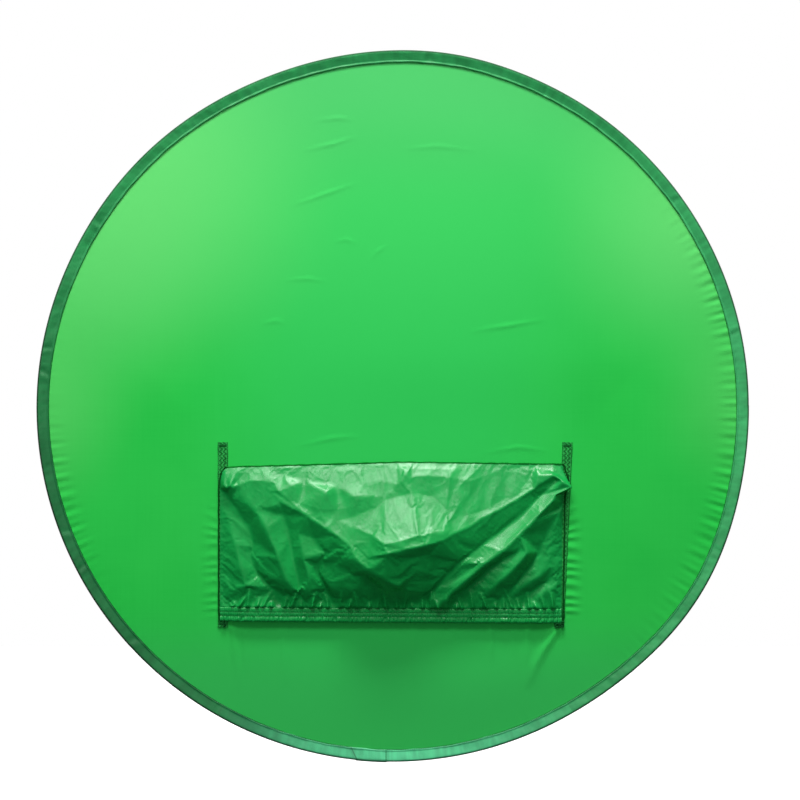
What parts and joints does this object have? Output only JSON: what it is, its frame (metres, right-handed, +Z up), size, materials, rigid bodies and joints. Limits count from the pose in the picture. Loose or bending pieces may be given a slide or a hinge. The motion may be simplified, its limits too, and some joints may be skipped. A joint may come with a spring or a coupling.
{
  "type": "pop-up backdrop screen",
  "caption": "Collapsible round cloth screen in a sprung hoop with satin edge binding and a gathered pocket that slips over a chair's back.",
  "frame": {"origin": "middle of the pocket's top seam, on the panel's rear face, where a chair's back takes the screen's weight", "axes": "+Z up the disc, +Y out of the screen's plain front face, +X to the right as seen from the rear"},
  "size_m": [1.42, 0.0883, 1.4208],
  "materials": {
    "screen_fabric": "matte",
    "binding_satin": "satin",
    "pocket_satin": "satin",
    "webbing": "matte",
    "elastic": "matte",
    "thread": "matte",
    "spring_steel": "satin"
  },
  "bodies": {
    "screen": {"screen_panel_middle": "screen_fabric", "rim_binding_top": "binding_satin", "rim_binding_bottom": "binding_satin", "binding_join": "binding_satin", "hoop_band_top": "spring_steel", "hoop_band_bottom_left": "spring_steel", "hoop_band_bottom_right": "spring_steel", "hoop_splice_plate": "spring_steel", "hoop_rivet_1": "spring_steel", "hoop_rivet_2": "spring_steel", "hoop_rivet_3": "spring_steel", "hoop_rivet_4": "spring_steel", "pocket_tape_left": "webbing", "pocket_tape_right": "webbing", "tape_tack_left_top": "thread", "tape_tack_left_bottom": "thread", "tape_tack_right_top": "thread", "tape_tack_right_bottom": "thread", "pocket_top_seam": "pocket_satin", "pocket_side_seam_left": "pocket_satin", "pocket_side_seam_right": "pocket_satin", "elastic_tack_left": "thread", "elastic_tack_right": "thread"},
    "pocket": {"pocket_cloth": "pocket_satin", "hem_casing": "pocket_satin", "hem_elastic": "elastic"},
    "left_side": {"screen_panel_left": "screen_fabric", "rim_binding_left": "binding_satin", "hoop_band_left": "spring_steel"},
    "right_side": {"screen_panel_right": "screen_fabric", "rim_binding_right": "binding_satin", "hoop_band_right": "spring_steel"}
  },
  "joints": [
    {"name": "pocket_mouth", "type": "hinge", "parent": "screen", "child": "pocket", "pos_m": [0, 0, 0], "axis": [-1, 0, 0], "range_deg": [0, 25], "stiffness_Nm_per_rad": 1.5},
    {"name": "left_side_bend", "type": "hinge", "parent": "screen", "child": "left_side", "pos_m": [-0.45, 0.03, 0.117], "axis": [0, 0, -1], "range_deg": [0, 75], "stiffness_Nm_per_rad": 6},
    {"name": "right_side_bend", "type": "hinge", "parent": "screen", "child": "right_side", "pos_m": [0.45, 0.03, 0.117], "axis": [0, 0, 1], "range_deg": [0, 75], "stiffness_Nm_per_rad": 6}
  ]
}
